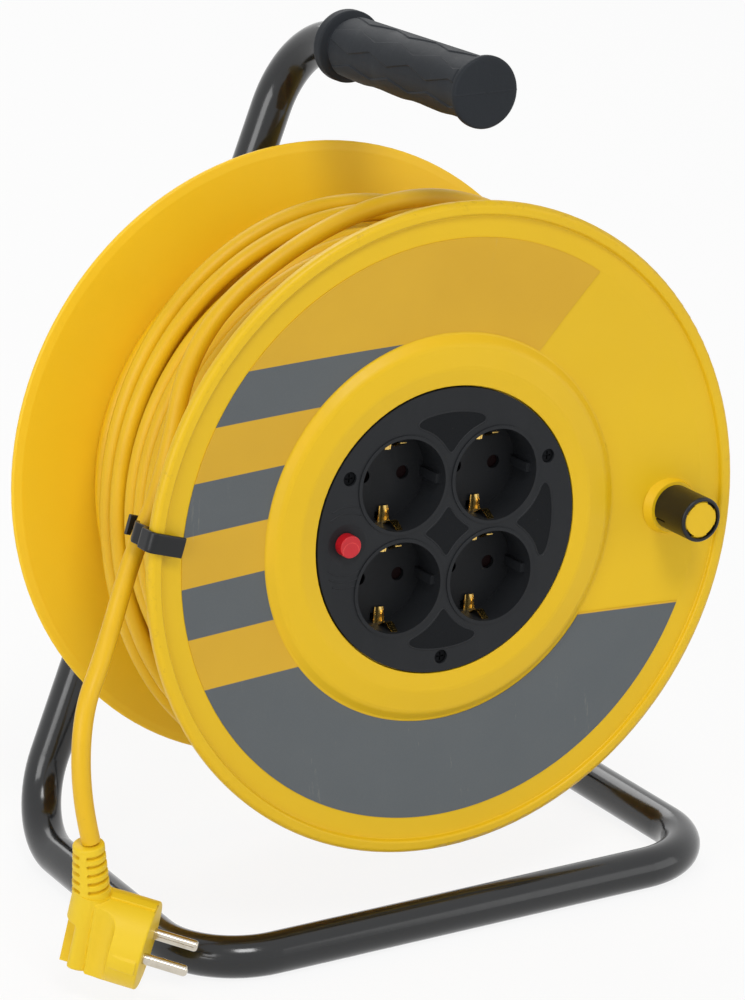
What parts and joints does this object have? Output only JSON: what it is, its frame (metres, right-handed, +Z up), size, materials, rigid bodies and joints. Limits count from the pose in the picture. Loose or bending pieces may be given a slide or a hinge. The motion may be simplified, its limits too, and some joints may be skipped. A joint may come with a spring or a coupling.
{
  "type": "extension cord reel",
  "caption": "Yellow drum reel of extension cord on a black tube stand, with socket wells, reset button, winding knob and a hanging angled plug.",
  "frame": {"origin": "on the floor, under the middle of the reel's own box without the free cord and plug", "axes": "+Z up, +Y from the socket side to the rear, +X to the right as seen from the socket side"},
  "size_m": [0.326, 0.2102, 0.379],
  "materials": {
    "yellow_plastic": "semi-gloss moulded yellow plastic",
    "yellow_cord": "satin yellow cord sheath",
    "yellow_plug": "satin yellow moulded plug",
    "label_print": "printed film, ochre with grey fields",
    "black_paint": "black powder coat",
    "black_grip": "matte black moulded grip",
    "black_plastic": "fine textured black plastic",
    "black_sleeve": "satin black plastic",
    "red_plastic": "red plastic",
    "shutter_plastic": "dark red plastic",
    "insulator": "dark insulating plastic",
    "steel": "zinc plated steel",
    "black_steel": "blackened steel",
    "brass": "bright brass",
    "nickel": "nickel plated brass"
  },
  "bodies": {
    "frame": {"frame_tube": "black_paint", "handle_grip": "black_grip", "axle": "steel", "retaining_ring": "steel", "thrust_washer": "steel", "hub_plate": "black_paint", "axle_washer": "steel", "axle_bolt": "steel", "hanging_cord": "yellow_cord", "plug_body": "yellow_plug", "plug_strain_relief": "yellow_plug", "plug_pins": "nickel", "plug_earth_contacts": "nickel"},
    "drum": {"front_flange": "yellow_plastic", "rear_flange": "yellow_plastic", "drum_barrel": "yellow_plastic", "hub_bush": "insulator", "flange_screws": "steel", "socket_plate": "black_plastic", "socket_well_1": "black_plastic", "socket_well_2": "black_plastic", "socket_well_3": "black_plastic", "socket_well_4": "black_plastic", "socket_screws": "black_steel", "contact_carrier": "insulator", "live_bar": "brass", "neutral_bar": "brass", "earth_bar": "brass", "terminal_screws": "steel", "earth_clips": "brass", "breaker_body": "insulator", "cord_clip": "black_sleeve", "face_label": "label_print", "inner_lead": "yellow_cord", "cord_gland": "insulator", "cord_outer_turns": "yellow_cord", "cord_core": "yellow_cord"},
    "knob_sleeve_body": {"knob_sleeve": "black_sleeve"},
    "reset_button_body": {"reset_button": "red_plastic"},
    "shutter_1_body": {"shutter_1": "shutter_plastic"},
    "shutter_2_body": {"shutter_2": "shutter_plastic"},
    "shutter_3_body": {"shutter_3": "shutter_plastic"},
    "shutter_4_body": {"shutter_4": "shutter_plastic"}
  },
  "joints": [
    {"name": "drum_spin", "type": "hinge", "parent": "frame", "child": "drum", "pos_m": [0.00075, -0.00815, 0.176], "axis": [0, 1, 0], "continuous": true},
    {"name": "knob_spin", "type": "hinge", "parent": "drum", "child": "knob_sleeve_body", "pos_m": [0.11425, -0.08615, 0.1704], "axis": [0, 1, 0], "continuous": true},
    {"name": "reset_press", "type": "slide", "parent": "drum", "child": "reset_button_body", "axis": [0, 1, 0], "range_m": [0, 0.003], "stiffness_N_per_m": 800, "springref_m": -0.002},
    {"name": "shutter_1_turn", "type": "hinge", "parent": "drum", "child": "shutter_1_body", "pos_m": [-0.02087, -0.05235, 0.19935], "axis": [0, 1, 0], "range_deg": [0, 40], "stiffness_Nm_per_rad": 0.002, "springref_deg": -11.46},
    {"name": "shutter_2_turn", "type": "hinge", "parent": "drum", "child": "shutter_2_body", "pos_m": [0.0241, -0.05235, 0.19762], "axis": [0, 1, 0], "range_deg": [0, 40], "stiffness_Nm_per_rad": 0.002, "springref_deg": -11.46},
    {"name": "shutter_3_turn", "type": "hinge", "parent": "drum", "child": "shutter_3_body", "pos_m": [-0.0226, -0.05235, 0.15438], "axis": [0, 1, 0], "range_deg": [0, 40], "stiffness_Nm_per_rad": 0.002, "springref_deg": -11.46},
    {"name": "shutter_4_turn", "type": "hinge", "parent": "drum", "child": "shutter_4_body", "pos_m": [0.02237, -0.05235, 0.15265], "axis": [0, 1, 0], "range_deg": [0, 40], "stiffness_Nm_per_rad": 0.002, "springref_deg": -11.46}
  ]
}
